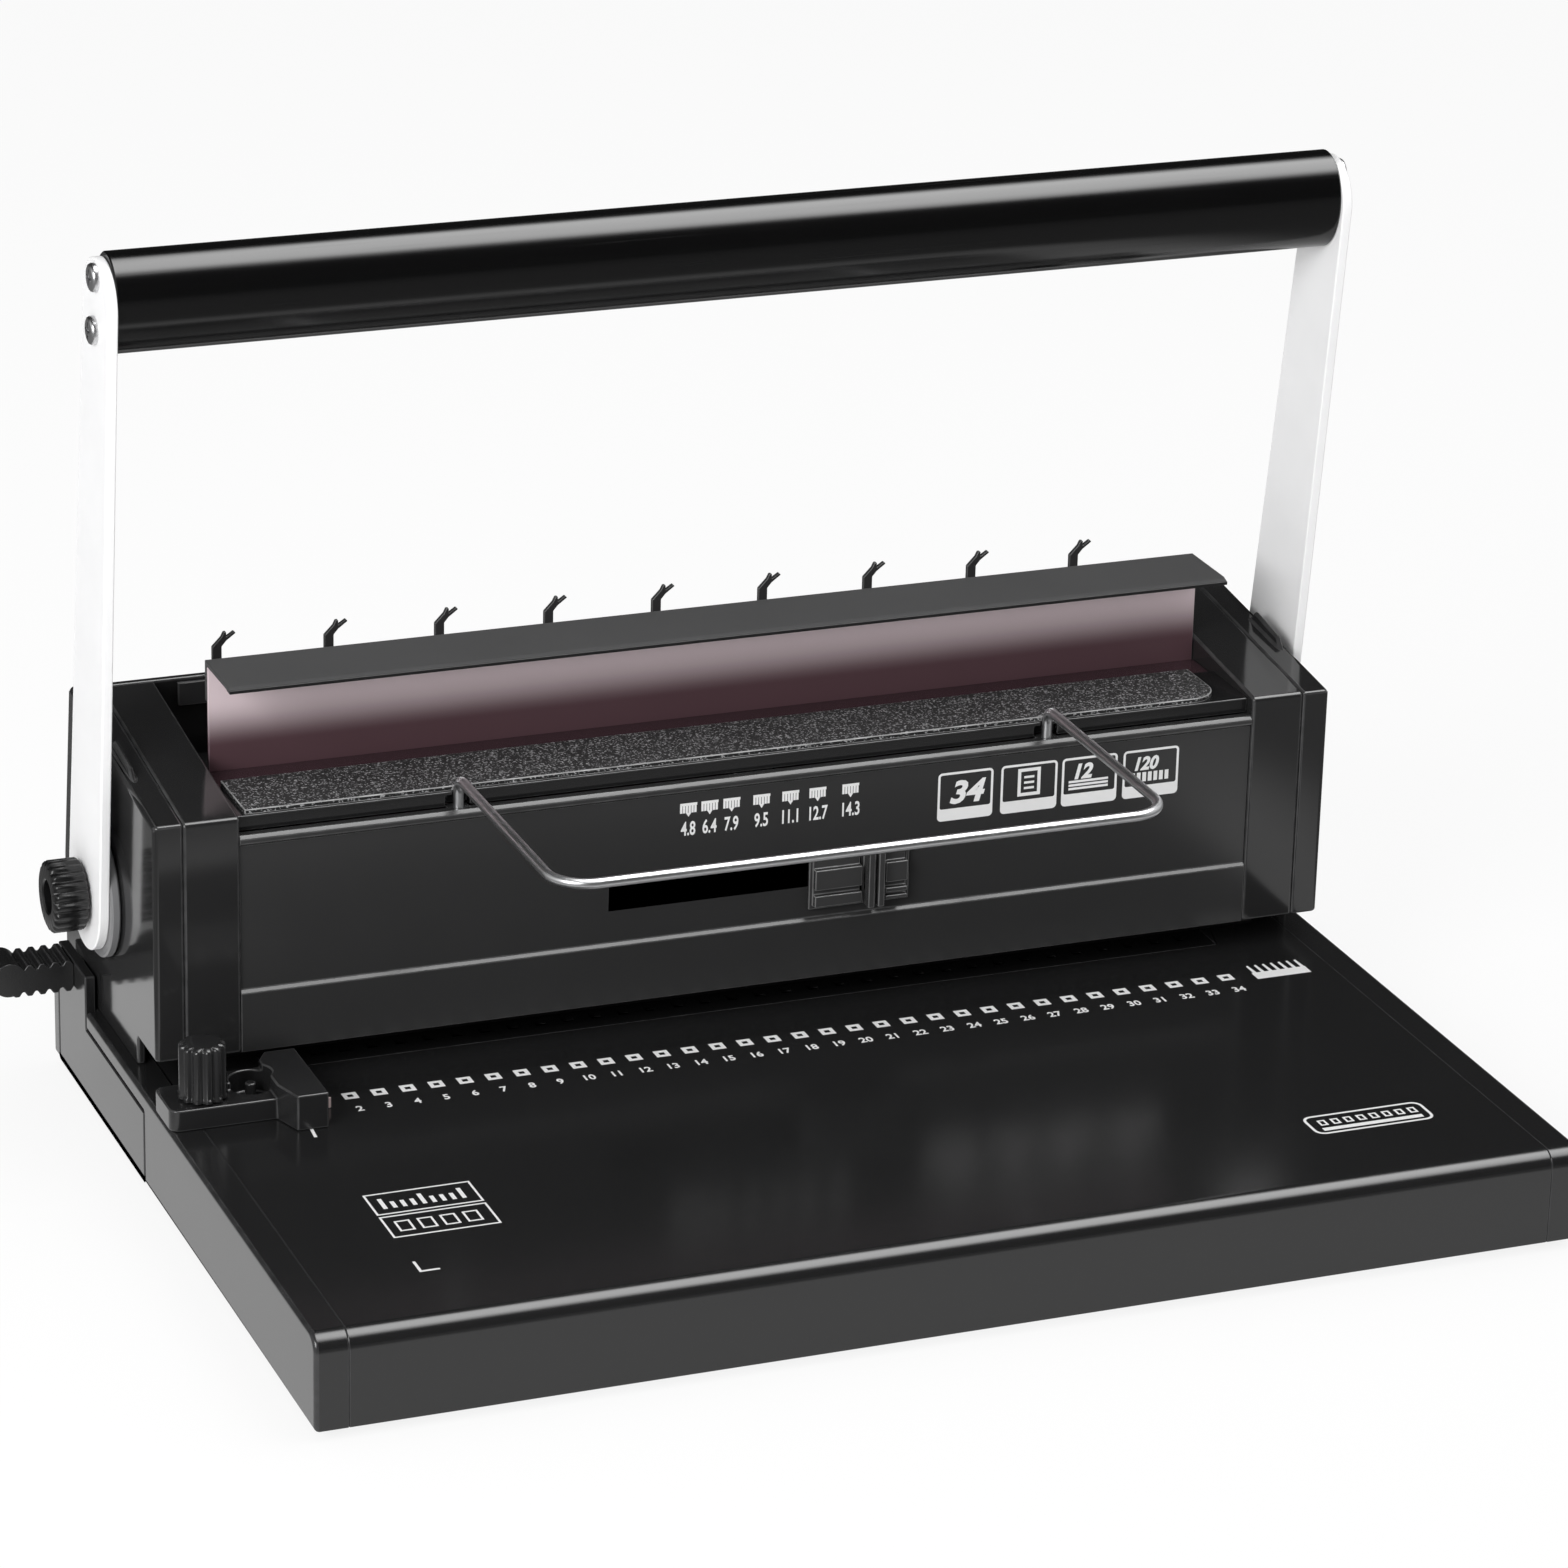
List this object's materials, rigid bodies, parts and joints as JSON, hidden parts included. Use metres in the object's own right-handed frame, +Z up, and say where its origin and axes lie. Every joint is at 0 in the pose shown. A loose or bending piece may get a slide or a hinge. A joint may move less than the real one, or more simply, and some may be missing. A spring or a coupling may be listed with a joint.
{
  "type": "wire binding machine",
  "caption": "Desk machine that punches a row of square holes in sheets and closes a twin-loop wire spine, worked by one wide bar handle over a flat base.",
  "frame": {"origin": "centre of the base's footprint on the surface that the rubber feet stand on", "axes": "+X to the right along the handle and the row of holes, +Y away from the user towards the housing, +Z up"},
  "size_m": [0.401, 0.258, 0.2669],
  "materials": {
    "deck_black": "gloss black deck",
    "end_grey": "satin dark grey",
    "sheet_steel": "zinc-plated sheet",
    "foot_rubber": "matt black",
    "zinc_screw": "zinc plated",
    "tool_steel": "ground steel",
    "die_black": "black oxide tool steel",
    "bearing_white": "plain acetal",
    "bar_steel": "drawn steel",
    "cover_black": "gloss black",
    "jaw_black": "satin black paint",
    "strip_speckled": "black and grey speckle",
    "hook_black": "satin black",
    "arm_silver": "white silver paint",
    "grip_black": "gloss black",
    "hub_grey": "satin grey",
    "knob_black": "satin black",
    "plate_tinted": "smooth tinted brown",
    "slider_black": "gloss black",
    "guide_black": "satin black",
    "pointer_pink": "pale pink",
    "tray_black": "satin black",
    "bail_chrome": "bright steel wire"
  },
  "bodies": {
    "frame": {"base_deck": "deck_black", "base_end_cap_left": "end_grey", "base_end_cap_right": "end_grey", "base_bottom_plate": "sheet_steel", "rubber_feet": "foot_rubber", "bottom_bolts": "zinc_screw", "die_plate": "die_black", "punch_guide": "die_black", "paper_stop": "die_black", "side_frame_left": "sheet_steel", "side_frame_right": "sheet_steel", "shaft_bearing_left": "bearing_white", "shaft_bearing_right": "bearing_white", "frame_tie_rod": "bar_steel", "front_cover": "cover_black", "well_cheek_left": "cover_black", "well_cheek_right": "cover_black", "side_cover_left": "cover_black", "side_cover_right": "cover_black", "rear_cover": "cover_black", "well_floor": "cover_black", "closer_ledge": "jaw_black", "grip_strip": "strip_speckled", "hook_rail": "hook_black", "wire_hooks": "hook_black"},
    "handle": {"drive_shaft": "bar_steel", "crank_left": "sheet_steel", "crank_right": "sheet_steel", "handle_arm_left": "arm_silver", "handle_arm_right": "arm_silver", "handle_grip": "grip_black", "grip_screws": "zinc_screw", "hub_washer_left": "hub_grey", "hub_washer_right": "hub_grey", "shaft_nut": "zinc_screw"},
    "pivot_knob": {"pivot_knob": "knob_black"},
    "punch": {"punch_bar": "tool_steel", "punch_pins": "tool_steel", "pin_clamp_plate": "tool_steel", "punch_yoke_left": "sheet_steel", "punch_yoke_right": "sheet_steel"},
    "closer": {"closer_flap": "jaw_black", "closer_back_plate": "plate_tinted", "closer_leg_left": "sheet_steel", "closer_leg_right": "sheet_steel", "closer_stop_finger": "sheet_steel"},
    "slider": {"size_slider": "slider_black", "size_stop_bar": "die_black"},
    "guide": {"edge_guide": "guide_black", "guide_pointer": "pointer_pink", "guide_nut": "zinc_screw"},
    "guide_knob": {"edge_guide_knob": "guide_black", "guide_screw": "zinc_screw"},
    "tray": {"waste_tray": "tray_black", "tray_end_plate": "tray_black", "tray_pull": "tray_black"},
    "bail": {"paper_bail": "bail_chrome"}
  },
  "joints": [
    {"name": "handle_pivot", "type": "hinge", "parent": "frame", "child": "handle", "pos_m": [0, 0.0845, 0.071], "axis": [1, 0, 0], "range_deg": [0, 70], "stiffness_Nm_per_rad": 1.5, "springref_deg": -57.3},
    {"name": "punch_slide", "type": "slide", "parent": "frame", "child": "punch", "axis": [0, 0, 1], "range_m": [-0.01205, 0]},
    {"name": "closer_slide", "type": "slide", "parent": "frame", "child": "closer", "axis": [0, 0, 1], "range_m": [-0.02403, 0]},
    {"name": "pivot_knob_turn", "type": "hinge", "parent": "handle", "child": "pivot_knob", "pos_m": [-0.192, 0.0845, 0.071], "axis": [1, 0, 0], "range_deg": [-180, 180]},
    {"name": "size_slider_slide", "type": "slide", "parent": "frame", "child": "slider", "axis": [1, 0, 0], "range_m": [-0.06, 0]},
    {"name": "edge_guide_slide", "type": "slide", "parent": "frame", "child": "guide", "axis": [1, 0, 0], "range_m": [0, 0.008]},
    {"name": "edge_guide_knob_turn", "type": "hinge", "parent": "guide", "child": "guide_knob", "pos_m": [-0.1728, 0.0115, 0.04], "axis": [0, 0, 1], "range_deg": [-180, 180]},
    {"name": "waste_tray_slide", "type": "slide", "parent": "frame", "child": "tray", "axis": [1, 0, 0], "range_m": [-0.25, 0]},
    {"name": "paper_bail_lift", "type": "slide", "parent": "frame", "child": "bail", "axis": [0, 0, 1], "range_m": [0, 0.012]}
  ],
  "couplings": [
    {"joint": "punch_slide", "follows": "handle_pivot", "m_per_rad": -0.0098215},
    {"joint": "closer_slide", "follows": "handle_pivot", "m_per_rad": -0.019624}
  ]
}
